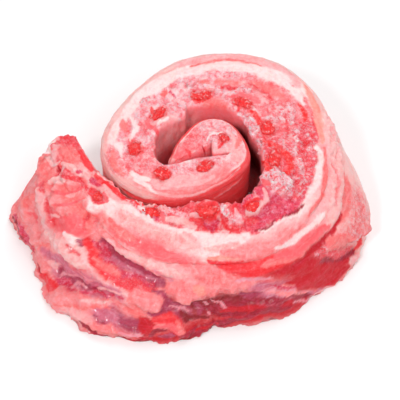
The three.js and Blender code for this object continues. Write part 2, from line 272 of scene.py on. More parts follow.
STROKES = [
    # loose end on the left
    ("bright", 2.4, 0, 79,152, 84,162, 91,171),
    ("bright", 1.4, 0, 61,139, 68,138),
    ("white", 1.4, 0.8, 45,150, 50,147, 56,142),
    ("fat", 1.4, 0.6, 50,158, 53,166, 60,162),
    ("coral", 3.4, 1.6, 43,156, 44,161),
    ("lean", 2.8, -0.8, 42,182, 43,196, 47,208, 52,219, 62,227),
    ("salmon", 3.4, 0.3, 56,222, 68,229, 84,232),
    ("rose", 1.4, 0.5, 52,214, 59,217),
    ("coral", 10, -1, 64,192, 76,202),
    ("lobes", 5, 1.1, 60,187),
    ("lobes", 4.6, 1.1, 74,186),
    ("lobes", 4.4, 1.1, 84,194),
    ("lobes", 4.4, 1.1, 56,199),
    ("lobes", 5, 1.1, 69,199),
    ("lobes", 4, 1.1, 81,206),
    ("lobes", 3.6, 1.1, 64,209),
    # painted shade: coral line in the crease along the lump
    ("coral", 3, -1.8, 60,178, 62,184, 67,195, 75,204, 84,212, 97,220),
    # painted light: paler fat and rose on the tops of the lobes
    ("fat", 1.6, 0.5, 58,183, 66,182),
    ("rose", 1.6, 0.5, 66,196, 73,197),
    # painted shade: salmon lines in the creases between the lobes
    ("salmon", 0.9, -0.9, 52,192, 62,194, 74,192, 82,188),
    ("salmon", 0.9, -0.9, 58,205, 68,206, 76,202, 84,201),
    ("ruby", 2.2, -1, 58,167, 58,172),
    ("lean", 1.4, -0.8, 58,172, 54,178, 48,182),
    ("lean", 1.4, -0.7, 60,175, 72,178, 80,183, 88,192, 92,200),
    ("fat", 2.2, 0.8, 62,164, 74,170, 88,179, 100,189, 110,197),
    ("magenta", 1.6, -0.4, 76,171, 80,173),
    ("magenta", 2.4, -0.5, 92,181, 101,186),
    ("lean", 3, -0.6, 91,192, 97,197, 103,200),
    ("salmon", 1.8, 0, 104,194, 108,202),
    # painted light: fat on the lump's upper left, a highlight
    ("fat", 2.2, 0.5, 51,181, 57,179, 63,183),
    ("lean", 1, -1.4, 86,214, 87,224, 86,232),
    ("coral", 2, 1, 91,216, 91,230),
    ("lean", 1, -1.2, 96,219, 97,231),
    ("pink fat", 2, 0.8, 102,212, 98,226, 92,235),
    ("rose", 2.4, 0.6, 36,187, 42,200, 45,216, 50,230),
    ("coral", 5, 2.4, 26,202, 34,198),
    ("salmon", 2, -1.6, 35,188, 41,181),
    ("salmon", 1.6, -0.6, 30,214, 37,221),
    ("magenta", 5, -0.4, 15,217, 20,229, 27,240, 34,249),
    ("crimson", 2, -0.4, 13,216, 18,228, 25,240),
    ("coral", 1.2, -1, 35,247, 43,243, 50,244),
    ("ruby", 1.6, -0.4, 34,252, 38,264, 41,272),
    ("bright", 3.8, 0.6, 44,276, 50,282, 56,284),
    # strips of fat and lean at the front left
    ("rose", 2.6, 1, 52,262, 62,270, 70,272),
    ("fat", 3.4, 1.4, 54,236, 64,250, 76,262, 84,266),
    ("fat", 3, 1.4, 66,236, 78,246, 104,272, 118,284, 128,293),
    ("white", 2.6, 1.6, 66,234, 80,240),
    ("lean", 0.9, -1, 68,244, 80,256),
    ("purple", 1.8, -1, 81,240, 85,246),
    ("mauve", 2.6, -0.8, 56,256, 62,266, 70,272),
    ("mauve", 7, -1.2, 62,274, 78,281, 96,288, 114,293),
    ("purple", 3, -0.6, 60,272, 72,281, 84,287, 98,291),
    ("magenta", 2.4, -0.6, 58,278, 66,284, 74,292),
    ("silver", 1.2, 0.5, 68,288, 75,284, 84,288),
    ("silver", 1, 0.4, 76,272, 88,280, 98,282),
    ("silver", 1, 0.4, 60,274, 74,276, 84,284),
    ("magenta", 1.2, -0.6, 80,292, 96,292, 108,297, 122,297),
    ("rose", 1.4, 0.6, 96,290, 108,290, 118,294),
    ("bright", 3.6, 0, 88,242, 94,254, 103,265, 116,275, 134,285, 150,292),
    ("lean", 3.4, -0.4, 112,272, 142,287, 154,291),
    ("purple", 5, -1.2, 104,243, 116,253, 130,263, 146,273, 160,282),
    ("magenta", 1.4, -1.6, 96,239, 102,248, 109,257, 116,263),
    ("mauve", 1.2, 0, 112,256, 124,264, 156,281),
    ("magenta", 1.2, -0.4, 118,268, 134,277, 152,286),
    ("silver", 0.7, -0.4, 112,246, 124,255, 138,264, 154,273),
    ("coral", 1.8, 0.4, 96,256, 106,266, 118,273),
    ("rose", 1.6, 1.6, 104,238, 112,243, 118,250, 128,256, 142,263),
    ("fat", 2.6, 1.6, 132,255, 148,264, 164,270, 180,276),
    ("silver", 1.6, -0.4, 156,271, 172,282),
    ("pink fat", 3.4, 1.6, 46,292, 64,298, 86,303, 108,304),
    ("fat", 1.2, 1, 84,301, 100,300, 114,302),
    ("coral", 0.9, -1, 58,303, 98,307, 114,310),
    ("purple", 1.6, -0.6, 94,316, 102,320, 112,320),
    ("mauve", 3.4, -0.4, 98,311, 120,320),
    ("purple", 3.4, -0.8, 124,322, 132,328, 140,333),
    ("pink fat", 3.4, 1.4, 104,326, 115,329),
    ("crimson", 2.6, -0.3, 80,322, 92,330, 106,338),
    ("silver", 1.8, 0.6, 122,332, 132,336, 142,334),
    ("ruby", 1.8, 0, 118,340, 146,339),
    ("pink fat", 5, 2.4, 134,294, 148,300, 160,305),
    ("coral", 2.2, 1.2, 128,306, 146,322),
    ("coral", 1.6, -0.4, 130,298, 140,308, 150,312),
    ("purple", 2.4, -1.2, 150,314, 160,315, 169,309, 166,302),
    ("purple", 1.6, -1, 154,291, 162,296, 168,303),
    # front
    ("ruby", 5, 0.8, 146,322, 149,334),
    ("bright", 4.6, 1, 158,320, 172,316, 179,325),
    ("salmon", 1.6, 1.4, 156,327, 170,324, 180,334),
    ("crimson", 1.6, -1, 152,337, 158,330, 166,329),
    ("purple", 2.4, 0, 162,335, 174,336),
    ("coral", 1.8, 1.2, 176,320, 187,338),
    ("crimson", 5, 0.4, 186,336, 204,329, 224,322, 244,317),
    ("ruby", 1.6, 0.6, 196,330, 206,326, 218,322),
    ("crimson", 4, 0, 250,314, 272,309, 294,303),
    ("pink fat", 2.6, 2.2, 165,288, 182,283),
    ("pink fat", 4.4, 3, 182,289, 186,299),
    ("orange", 2.8, 1.6, 196,289, 201,296),
    ("pink fat", 2.6, 2, 206,291, 214,293),
    ("purple", 4, -0.6, 168,303, 192,318),
    ("silver", 1.1, 0.5, 170,307, 182,307, 190,312),
    ("purple", 1.4, -0.3, 194,302, 200,310, 199,318),
    ("silver", 0.9, 0.5, 202,302, 208,308, 209,314),
    ("silver", 1, 0.5, 210,300, 220,303, 226,309, 234,312),
    ("crimson", 3, -0.6, 206,308, 222,315, 242,312),
    ("crimson", 2.4, -0.8, 244,302, 262,300, 282,300),
    ("deep", 2, -0.8, 178,312, 190,318, 206,318),
    ("ruby", 2.4, 0, 222,312, 240,307, 262,307),
    ("purple", 3, -0.8, 240,294, 250,295, 258,292),
    ("silver", 1.6, 0.2, 236,280, 250,277, 266,279),
    ("silver", 2.2, 0.3, 266,289, 284,292, 304,291),
    ("pink fat", 1, 0.4, 270,291, 306,292),
    ("magenta", 0.8, -0.2, 268,286, 282,289, 296,289),
    ("pink fat", 1.4, 0.6, 280,285, 300,286, 316,288),
    ("ruby", 2.4, 0, 284,303, 314,296),
    ("silver", 0.8, 0.3, 292,303, 304,300, 314,296),
    ("crimson", 1.4, -0.6, 286,298, 300,297, 316,293),
    ("fat", 1.8, 0.4, 314,292, 326,288, 334,283),
    ("ruby", 4.6, 0.6, 292,281, 312,281, 332,279, 344,270),
    # painted shade: ruby down the fold beside the flap
    ("ruby", 2, -2, 298,262, 310,254, 320,245, 329,235, 336,224, 340,214),
    # painted shade under the flap's lip, partly the lean's own red
    ("crimson", 2, -1.6, 322,260, 334,259, 353,253),
    ("rose", 2.4, 0, 352,259, 358,262),
    # shoulder at the front
    ("bright", 2.4, 0.2, 207,259, 216,262, 226,265),
    ("bright", 5.4, 0.3, 222,265, 238,268, 258,268, 280,262, 298,254),
    ("orange", 1.4, 0.5, 206,257, 222,258, 240,259),
    ("coral", 3, 0.3, 268,264, 306,250),
    ("salmon", 4, 0.3, 276,258, 296,249, 326,228),
    ("salmon", 4, 0.3, 134,240, 150,250, 168,257, 182,261),
    ("coral", 3, 0.2, 110,222, 120,232, 134,240),
    ("white", 1.8, 0.8, 124,209, 138,215, 152,222, 170,227),
    ("white", 1.6, 0.6, 170,227, 186,231, 202,236),
    ("fat", 3, 0.4, 128,218, 150,228, 176,238, 196,245),
    ("white", 4.8, 0.6, 212,238, 230,241, 246,237),
    ("fat", 2, 0.5, 204,249, 220,249, 238,245),
    ("rose", 1.6, 0.3, 184,235, 196,239),
    ("pink fat", 2.6, 0.3, 222,254, 262,252),
    # partly white fat, partly painted highlight: pale streaks along the shoulder's ridge
    ("white", 1.4, 0.6, 258,232, 272,228, 286,220),
    ("white", 1.8, 0.7, 290,218, 300,210, 308,200),
    ("white", 2.2, 0.9, 278,246, 292,239, 305,231, 316,221),
    # shoulder and flap on the right
    # end of the painted highlight streak, over white fat
    ("white", 1.8, 0.6, 314,224, 322,215),
    ("white", 2.8, 0.5, 316,148, 319,163, 317,182, 311,196),
    ("coral", 1.8, 0.2, 324,150, 325,176, 320,198, 308,216),
    ("fat", 1.6, 0.5, 330,158, 333,178, 331,198, 326,212),
    ("pink fat", 1.2, -0.4, 334,164, 337,184, 335,204),
    ("fat", 1.6, 0.5, 338,172, 341,192, 337,212, 328,222),
    ("coral", 1.4, -0.8, 344,176, 345,196, 341,212),
    ("orange", 3.2, 0.6, 306,88, 314,104, 318,124, 322,142),
    ("lean", 0.8, -0.8, 311,118, 315,130, 315,141),
    ("bright", 2, 0, 354,250, 360,242, 365,235),
    ("lean", 2.4, 0, 322,254, 336,254, 350,250),
    ("coral", 3, 0.5, 332,238, 352,240),
    ("pink fat", 2, 0, 364,226, 372,230),
    # top cut, right and back
    ("rose", 4, 0, 180,65, 202,60, 226,58, 250,59, 268,64, 286,73, 298,84),
    ("coral", 1.2, 0, 192,66, 214,62, 240,61, 262,66),
    ("white", 4.4, 0.5, 176,76, 200,71, 226,68, 250,70, 270,77, 288,86),
    ("white", 3, 0.5, 288,86, 298,95, 304,106),
    ("white", 4, 0.5, 116,134, 126,112, 142,94, 160,81, 178,74),
    ("pale meat", 1.6, 0.3, 206,72, 232,73, 252,76),
    ("lean", 1.2, -0.6, 248,83, 274,101),
    ("lean", 1.6, -0.6, 286,116, 287,126, 286,140),
    ("flecked", 2.4, 0.6, 289,104, 291,114, 290,124),
    ("flecked", 2.2, 0.6, 262,120, 270,116, 276,122),
    ("bright", 1.6, -0.4, 262,126, 262,134, 266,140),
    ("scarlet", 3, 0, 278,150, 288,156, 291,166, 286,172),
    ("scarlet", 2.2, 0, 262,162, 268,170, 276,173),
    ("scarlet", 2.4, 0, 250,110, 257,119, 262,130),
    ("scarlet", 2, 0, 264,140, 272,143, 282,147),
    ("scarlet", 1.8, 0, 300,106, 306,116, 306,122),
    ("salmon", 2.6, 0, 232,96, 246,95, 258,102),
    ("scarlet", 1.6, 0, 194,98, 202,100, 212,98),
    ("scarlet", 1.4, 0, 152,108, 154,116),
    ("flecked", 2, 0.6, 276,106, 282,112, 282,122),
    ("flecked", 2, 0.6, 294,128, 297,140, 295,152),
    ("flecked", 2, 0.6, 186,84, 196,90),
    ("flecked", 2.4, 0.4, 142,104, 150,98),
    ("flecked", 2, 0.4, 300,160, 303,176),
    ("flecked", 3, 0.8, 266,176, 276,174, 286,180, 288,190),
    ("salmon", 2.4, 0, 262,182, 268,186),
    ("rose", 1.6, 0.8, 262,190, 264,200, 256,206),
    ("lean", 2, 0, 222,88, 234,87),
    ("flecked", 2.4, 0.5, 234,92, 242,89, 250,92),
    ("coral", 2.6, 0, 200,82, 208,83),
    ("bright", 1.2, 0, 232,104, 238,106, 238,112),
    ("magenta", 1, -0.2, 171,92, 176,97),
    ("coral", 2.6, 0, 160,95, 166,92),
    ("salmon", 2.2, 0, 152,118, 149,123, 156,129, 158,136),
    ("rose", 2, 0.6, 154,125, 164,120, 176,117),
    ("white", 1, 0.6, 158,124, 168,119),
    ("white", 1.6, 0.5, 132,142, 136,128, 130,118),
    ("coral", 2.4, 0, 122,122, 126,130),
    ("coral", 2, 0, 112,154, 114,166, 124,174),
    ("white", 2, 0.5, 112,144, 122,146, 120,156),
    ("white", 2, 0.5, 132,172, 140,178, 148,182),
    # ragged strip of meat along the front turn
    ("bright", 2.4, 0, 96,176, 108,186, 120,193),
    ("salmon", 2, 0.5, 100,182, 112,192, 126,202),
    ("bright", 1.8, 0, 103,183, 114,190, 126,197, 138,205),
    ("rose", 1.6, 0.8, 104,186, 116,198, 130,206),
    ("fat", 1.4, 1, 136,201, 150,208, 158,206, 168,210),
    ("bright", 1.4, 0, 142,205, 156,205, 164,208),
    ("magenta", 2.4, 0, 151,213, 158,220),
    ("salmon", 2, 0, 160,212, 166,220, 178,211),
    ("white", 1.6, 1, 138,207, 148,212, 150,218),
    ("fat", 3, 0.8, 168,218, 182,220, 194,228),
    ("pale meat", 2, 0.8, 168,208, 178,212, 186,216),
    ("bright", 2.6, -0.8, 192,218, 214,219),
    ("magenta", 2.4, -0.6, 204,225, 210,228, 217,224),
    ("rose", 1.6, 1.2, 191,214, 204,213, 218,210),
    ("bright", 1.8, 0, 200,206, 212,207, 220,205),
    ("flecked", 2.6, 1, 222,206, 226,212, 232,217),
    ("pale meat", 2.4, 0.8, 230,222, 238,218, 236,210),
    ("bright", 1.4, -0.4, 222,223, 228,229, 236,230),
    ("lean", 3.6, -0.6, 244,218, 254,217),
    ("rose", 1.6, 1.2, 246,212, 256,207, 262,200),
    ("bright", 2, 0.4, 244,206, 250,202, 256,199),
    # painted shadow: thin crimson lines where the crumbly meat meets the fat rim
    ("crimson", 0.9, -1, 254,231, 264,229, 276,222),
    ("crimson", 0.9, -1, 282,218, 292,214, 303,205),
    # inner coil
    ("coil rind", 3, 0, 124,192, 136,198, 150,202, 186,204),
    ("flecked", 4, 0, 238,114, 249,123, 257,137, 261,150),
    ("rose", 1.6, 0.2, 138,186, 156,193, 178,196, 200,192, 220,183, 240,168),
    ("white", 1.6, 0.3, 136,180, 146,187, 158,194),
    ("rose", 1.4, 0.3, 150,182, 160,188, 170,189),
    ("rose", 1.6, 0.2, 176,186, 196,182, 214,176),
    ("ruby", 1.8, -1.2, 202,147, 204,154),
    ("bright", 1.4, -0.4, 220,146, 224,140),
    ("rose", 1.2, 0.3, 230,130, 234,142, 238,152),
    ("white", 1, 0.4, 206,140, 218,134, 224,132),
    ("coral", 1.8, 0, 238,134, 236,148),
    ("bright", 2.8, -0.4, 187,150, 191,156),
    ("bright", 2.4, -0.6, 203,163, 212,165),
    ("salmon", 1.6, -0.4, 198,166, 206,170),
    ("rose", 1.4, 0.8, 208,152, 216,150, 228,149),
    ("pink fat", 1.4, 0.2, 206,190, 222,182, 236,172),
    ("pink fat", 1.2, 0.2, 214,198, 230,188, 242,178),
]

# Washes where the main view doesn't reach well: the path is along,girth.
UNSEEN_WASHES = [
    ("gap shade", 18, 0, 6.2,1.4, 7,1.36, 7.7,1.34),  # painted shade in the gap beside the inner coil
    # painted shade low in the gap right of the inner coil
    ("gap shade", 12, 0, 13.9,-0.75, 14.4,-0.7, 14.8,-0.75),
    ("rose", 14, 0, 9.3,1.25, 10,1.25, 10.6,1.25),  # the ring's inner wall, a paler pink than its membrane, painted light against its shade
    ("crimson", 12, 0, 1.9,-1.15, 3,-1.15, 4,-1.15, 5.2,-1.15),  # the foot
    ("ruby", 6, 0, 0,-1, 0.6,-1.08, 1.2,-1.08),
]

# ---- the main view

CAMERA = np.array([8.49, -436.90, 644.36])
TARGET = np.array([8.49, -6.72, 30])
LENS, SENSOR = 101.25, 36
PICTURE = 400  # pixels each way

# A place in the picture is on the nearest surface within so many pixels, and so deep.
SEEN_AROUND, SEEN_DEEP = 3, 6


def in_picture(points):
    """Where points fall in the picture from the main view, and how far away they are."""
    ahead = (TARGET - CAMERA) / np.linalg.norm(TARGET - CAMERA)
    right = np.cross(ahead, (0, 0, 1))
    right /= np.linalg.norm(right)
    rays = points - CAMERA
    far = rays @ ahead
    scale = PICTURE * LENS / SENSOR / far
    across, down = rays @ right * scale, -(rays @ np.cross(right, ahead)) * scale
    return np.column_stack([across, down]) + PICTURE / 2, far


def seen_at(spot, picture, far):
    """The index of the point of the surface that shows at a place in the picture."""
    away = np.hypot(*(picture - spot).T)
    around = np.flatnonzero(away < max(SEEN_AROUND, away.min() + 1))
    front = around[far[around] < far[around].min() + SEEN_DEEP]
    return front[away[front].argmin()]


# ---- number helpers


def smooth(x, low, high):
    part = np.clip((x - low) / (high - low), 0, 1)
    return part * part * (3 - 2 * part)


def bell(x):
    return np.exp(-x * x)


def mix(a, b, part):
    return a + (b - a) * part


def linear(srgb):
    """Linear colour from sRGB bytes."""
    value = np.asarray(srgb, float) / 255
    return np.where(value <= 0.04045, value / 12.92, ((value + 0.055) / 1.055) ** 2.4)


NOISE_CELLS = 64
NOISE_TURN = np.array([[0.48, 0.6, 0.64], [-0.8, 0.6, 0], [-0.36, -0.48, 0.8]]) @ \
    np.array([[0.6, 0, 0.8], [0, 1, 0], [-0.8, 0, 0.6]])


def noise(points, size, seed):
    """Smooth noise, -1 to 1, with lumps of about the given size (one number or three)."""
    lattice = np.random.default_rng(seed).uniform(-1, 1, (NOISE_CELLS,) * 3)
    cell = points / np.asarray(size, float) @ NOISE_TURN
    low = np.floor(cell).astype(int)
    part = cell - low
    part = part * part * (3 - 2 * part)
    total = np.zeros(len(points))
    for corner in np.ndindex(2, 2, 2):
        weight = np.prod(np.where(corner, part, 1 - part), axis=1)
        total += weight * lattice[tuple(((low + corner) % NOISE_CELLS).T)]
    return total


def noises(points, layers):
    """A sum of noises: how strong, how large the lumps are and the seed of each."""
    return sum(amount * noise(points, size, seed) for amount, size, seed in layers)


def rough(points, size, seed):
    """Noise in three octaves."""
    octaves = (1, size, seed), (0.5, size / 2.1, seed + 1), (0.25, size / 4.3, seed + 2)
    return noises(points, octaves) / 1.3


def puffs(points, size, seed):
    """Rounded lumps with creases between them, about -1 to 1."""
    return 1 - 2.6 * np.abs(rough(points, size, seed))


# ---- rolling up


def through_stations(along):
    """Uniform Catmull-Rom through the stations: values there, and their rate of change."""
    before = 2 * STATIONS[0] - STATIONS[1]
    after = 2 * STATIONS[-1] - STATIONS[-2]
    knots = np.vstack([before, STATIONS, after])
    start = np.clip(along.astype(int), 0, LAST - 1)
    part = (along - start)[:, None]
    a, b, c, d = (knots[start + k] for k in range(4))
    leave, arrive = (c - a) / 2, (d - b) / 2
    cubic = 2 * b - 2 * c + leave + arrive
    square = 3 * c - 3 * b - 2 * leave - arrive
    values = ((cubic * part + square) * part + leave) * part + b
    rates = (3 * cubic * part + 2 * square) * part + leave
    return values, rates


def roll_frame(along):
    """Each place on the rib line, the way along it, the way out to the rind, and the offsets."""
    values, rates = through_stations(along)
    way = rates[:, :2] / np.linalg.norm(rates[:, :2], axis=1, keepdims=True)
    out = np.column_stack([way[:, 1], -way[:, 0]])
    return values[:, :2], way, out, values[:, 2:].T


def segment_distance(x, y, start, end):
    """Distance of points from a segment, and how far along it the nearest point is."""
    dx, dy = end[0] - start[0], end[1] - start[1]
    length = max(dx * dx + dy * dy, 1e-9)
    part = np.clip(((x - start[0]) * dx + (y - start[1]) * dy) / length, 0, 1)
    return np.hypot(x - start[0] - part * dx, y - start[1] - part * dy), part


def flap_shape(along, height):
    """How far the flap stands out, and how far its lip hangs down."""
    side = np.where(along < FLAP_CORNER, smooth(along, FLAP_FROM, FLAP_CORNER),
                    1 - smooth(along, FLAP_CORNER, FLAP_TO))
    edge = FLAP_CORNER_HEIGHT + FLAP_RISE * np.maximum(0, FLAP_CORNER - along)
    lip = side * smooth(height, edge - FLAP_LIP, edge)
    hang = 1 - smooth(height, edge, edge + 0.2)
    return FLAP_OUT * lip * (1 - smooth(height, edge, 1)), FLAP_DROP * lip * hang


def rind_relief(along, height):
    total = np.zeros(len(along))
    scale = RIND_PITCH, RIND_RISE
    x, y = along * RIND_PITCH, height * RIND_RISE
    for start, end, wide, out in RIND_STRANDS:
        away, _ = segment_distance(x, y, np.multiply(start, scale), np.multiply(end, scale))
        total += out * bell(away / wide)
    for rate, amount in WAVES:
        total += amount * np.sin(2 * np.pi * rate * along + WAVE_SLANT * height) * (1 - height)
    return total * (1 - smooth(along, *RELIEF_FADE))


def rib_bulge(along):
    near = sum(bell((along - place) / RIB_BULGE_WIDE) for place, *_ in RIBS)
    return RIB_BULGE * near * (1 - smooth(along, *RIB_BULGE_FADE))


def rib_folds(along):
    return sum(out * smooth(along, start, crest) * (1 - smooth(along, crest, end))
               for start, crest, end, out in RIB_FOLDS)


def knob(along, depth):
    """How far a point near one of the strip's ends moves along it."""
    loose = LOOSE_KNOB * (1 - smooth(along, 0, KNOB_REACH))
    heart = HEART_KNOB * smooth(along, LAST - KNOB_REACH, LAST)
    return (heart - loose) * 4 * depth * (1 - depth)


def cut_relief(along, depth):
    return sum(up * bell((along - at[0]) / wide[0]) * bell((depth - at[1]) / wide[1])
               for at, wide, up in CUT_HUMPS)


def rounded(a, b, radius):
    """Moves from a square edge onto a rounded one, for distances a, b from its two faces."""
    p, q = np.maximum(radius - a, 0), np.maximum(radius - b, 0)
    pull = np.maximum(p, q) / np.maximum(np.hypot(p, q), 1e-9)
    near = (p > 0) & (q > 0)
    return np.where(near, p * (1 - pull), 0), np.where(near, q * (1 - pull), 0)


def slab_points(along, depth, height):
    """The strip's points at slab coordinates, rolled up."""
    place, way, outward, (inner, rim, foot, crest, edge) = roll_frame(along)
    top = mix(rim, -inner, depth)
    low = mix(foot, -inner, depth)
    leaning = np.clip((foot - rim) / SWELL_LEAN, 0, 1)
    out = mix(low, top, height) + SWELL * leaning * 4 * height * (1 - height) * (1 - depth)
    level = mix(edge, crest, depth)
    up = level * height

    skin = (1 - depth) ** 2
    flap_out, flap_drop = flap_shape(along, height)
    out += (rind_relief(along, height) + flap_out) * skin
    up -= flap_drop * skin
    out -= (rib_bulge(along) + rib_folds(along)) * depth ** 4
    up += cut_relief(along, depth) * height ** 4

    width = rim + inner
    below = level * (1 - height)
    rind_in, rind_down = rounded(depth * width, below, RIND_ROUND)
    rib_in, rib_down = rounded((1 - depth) * width, below, RIB_ROUND)
    end_in, end_down = rounded(along * END_PITCH, below, END_ROUND)
    heart_in, heart_down = rounded((LAST - along) * END_PITCH, below, END_ROUND)
    out += rib_in - rind_in
    up -= rind_down + rib_down + end_down + heart_down
    onward = end_in - heart_in + knob(along, depth)
    flat = place + outward * out[:, None] + way * onward[:, None] + ROLL_AXIS
    return np.column_stack([flat, up])


# ---- the strip's grid

# Columns for each stretch of the strip: from, to, columns a station.
COLUMNS = [(0, 7, 50), (7, 13, 38), (13, 17, 30)]
# Rows up the rind side, across the top cut, down the rib side and under the foot.
ROWS = (66, 50, 18, 6)
ROW_CROWDING = 0.06  # towards the edges of each face
CAP_RINGS = 12


def grid_lines():
    """The columns' places along the strip and the rows' places round its girth."""
    stretches = [np.linspace(a, b, (b - a) * n, endpoint=False) for a, b, n in COLUMNS]
    along = np.append(np.concatenate(stretches), LAST)
    parts = [(face - 1, np.arange(count) / count) for face, count in enumerate(ROWS)]
    girth = [face + part - ROW_CROWDING * np.sin(2 * np.pi * part) for face, part in parts]
    return along, np.concatenate(girth)


def section(girth):
    """Depth and height of a place round the girth."""
    faces = [girth < 0, girth < 1, girth < 2]
    depth = np.select(faces, [0, girth, 1], 3 - girth)
    return depth, np.select(faces, [1 + girth, 1, 2 - girth], 0)


# ---- painting


def tissue(name):
    colour, *traits = TISSUES[name]
    return np.append(linear(colour), traits)


WASH_SOFT, STROKE_SOFT = 0.8, 0.3
TAPER = 0.4

# Sums of noise: how far the cut's layers and the paths stray, in millimetres, how the paths'
# edges fray, and the grains, the lengthwise streaks and the torn edges of the relief.
LAYER_STRAY = (1.1, 7, 31), (0.5, 2.5, 32)
STRAY_ALONG = (1.6, 9, 41), (0.6, 3.6, 42)
STRAY_ROUND = (1.4, 9, 43), (0.5, 3.6, 44)
FRAY = (0.22, 2.1, 45), (0.1, 1.1, 46)
GRAINS = (1, 1.5, 61), (0.5, 2.7, 62)
STREAKS = (1, (22, 2.4, 2.4), 71), (0.6, (12, 1.3, 1.3), 72)
RIM_TUFTS = (1.6, 4.2, 95), (1.3, 1.9, 96)
TORN_FOOT = (1.2, 6, 97), (0.9, 2.6, 98)


def pairs(path):
    return list(zip(path[::2], path[1::2]))


def over(coat, name, cover):
    """The coat with a tissue laid over it, as far as it covers."""
    return mix(coat, tissue(name), cover[:, None])


def brush(x, y, wide, path, fray, soft):
    """How much of a stroke lies on each point, from 0 to 1, with tapered ends."""
    if len(path) == 1:
        path = path * 2
    total = len(path) - 1
    nearest = np.full(len(x), 9.0)
    for i, (start, end) in enumerate(zip(path, path[1:])):
        away, part = segment_distance(x, y, start, end)
        through = (i + part) / total
        here = wide * (1 - TAPER + TAPER * np.sin(np.pi * through)) if start != end else wide
        nearest = np.minimum(nearest, away / here)
    return 1 - smooth(nearest + fray * min(1, 2.5 / wide), 1 - soft, 1 + 0.6 * soft)


def base_coat(along, girth, depth, width, points):
    """The tissue under the strokes: rind, membrane, and the cut faces' layers."""
    rind = np.tile(tissue("pink fat"), (len(along), 1))
    wander = along + 0.12 * noise(points, 9, 11)
    for name, at in (("rind", 5.4), ("coil rind", 11.9)):
        rind = over(rind, name, smooth(wander, at, at + 0.3))

    stations, rinds, fats, names = zip(*CUT_LAYERS)
    rind_wide = np.interp(along, stations, rinds)
    fat_wide = np.interp(along, stations, fats)
    channels = np.array([tissue(name) for name in names]).T
    meat = np.column_stack([np.interp(along, stations, channel) for channel in channels])
    blotch = rough(points, 5, 21)
    meat = over(meat, "white", 0.55 * smooth(blotch, 0.15, 0.6))
    meat = over(meat, "lean", 0.6 * smooth(-blotch, 0.2, 0.7))
    inward = depth * width + noises(points, LAYER_STRAY)
    cut = over(rind, "white", smooth(inward, rind_wide - 0.6, rind_wide + 0.8))
    cut = mix(cut, meat, smooth(inward, fat_wide - 0.8, fat_wide + 1.2)[:, None])

    on_cut = np.minimum(smooth(girth, -0.02, 0.03), 1 - smooth(girth, 0.97, 1.03))
    under = smooth(girth, 1.97, 2.02) * (1 - smooth(girth, 2.5, 2.6))
    coat = mix(rind, cut, np.maximum(on_cut, under)[:, None])
    ribs = smooth(girth, 0.97, 1.03) * (1 - smooth(girth, 1.97, 2.02))
    return over(coat, "membrane", ribs)


def unrolled(along, girth, width):
    """Millimetres along the strip and round its girth, from the rind's rim."""
    up = np.minimum(girth, 0) * RIND_RISE
    across = np.clip(girth, 0, 1) * width
    down = np.maximum(girth - 1, 0) * RIND_RISE
    below = -RIND_RISE - (3 - girth) * width
    return along * RIND_PITCH, np.where(girth > 2.5, below, up + across + down)


def paint(along, girth, depth, width, points):
    """Tissue channels and fine relief of the strip's surface."""
    coat = base_coat(along, girth, depth, width, points)
    relief = np.zeros(len(along))
    x, y = unrolled(along, girth, width)
    picture, far = in_picture(points)

    def seen_path(path):
        spots = [seen_at(spot, picture, far) for spot in path]
        return [(x[i], y[i]) for i in spots]

    def hidden_path(path):
        places, girths = np.array(path).T
        widths = np.interp(places, np.arange(LAST + 1), STATIONS[:, 2] + STATIONS[:, 3])
        return list(zip(*unrolled(places, girths, widths)))

    kinds = [(UNSEEN_WASHES, WASH_SOFT, hidden_path), (WASHES, WASH_SOFT, seen_path),
             (STROKES, STROKE_SOFT, seen_path)]
    layers = [(rows, soft, [find(pairs(path)) for _, _, _, *path in rows])
              for rows, soft, find in kinds]
    x = x + noises(points, STRAY_ALONG)
    y = y + noises(points, STRAY_ROUND)
    fray = noises(points, FRAY)
    for rows, soft, paths in layers:
        if rows is STROKES:
            coat = red_round_ribs(coat, fray, (along, girth, depth, width))
        for (name, wide, out, *_), path in zip(rows, paths):
            cover = brush(x, y, wide, path, fray, soft)
            coat = over(coat, name, cover)
            relief += out * cover
    return coat, relief


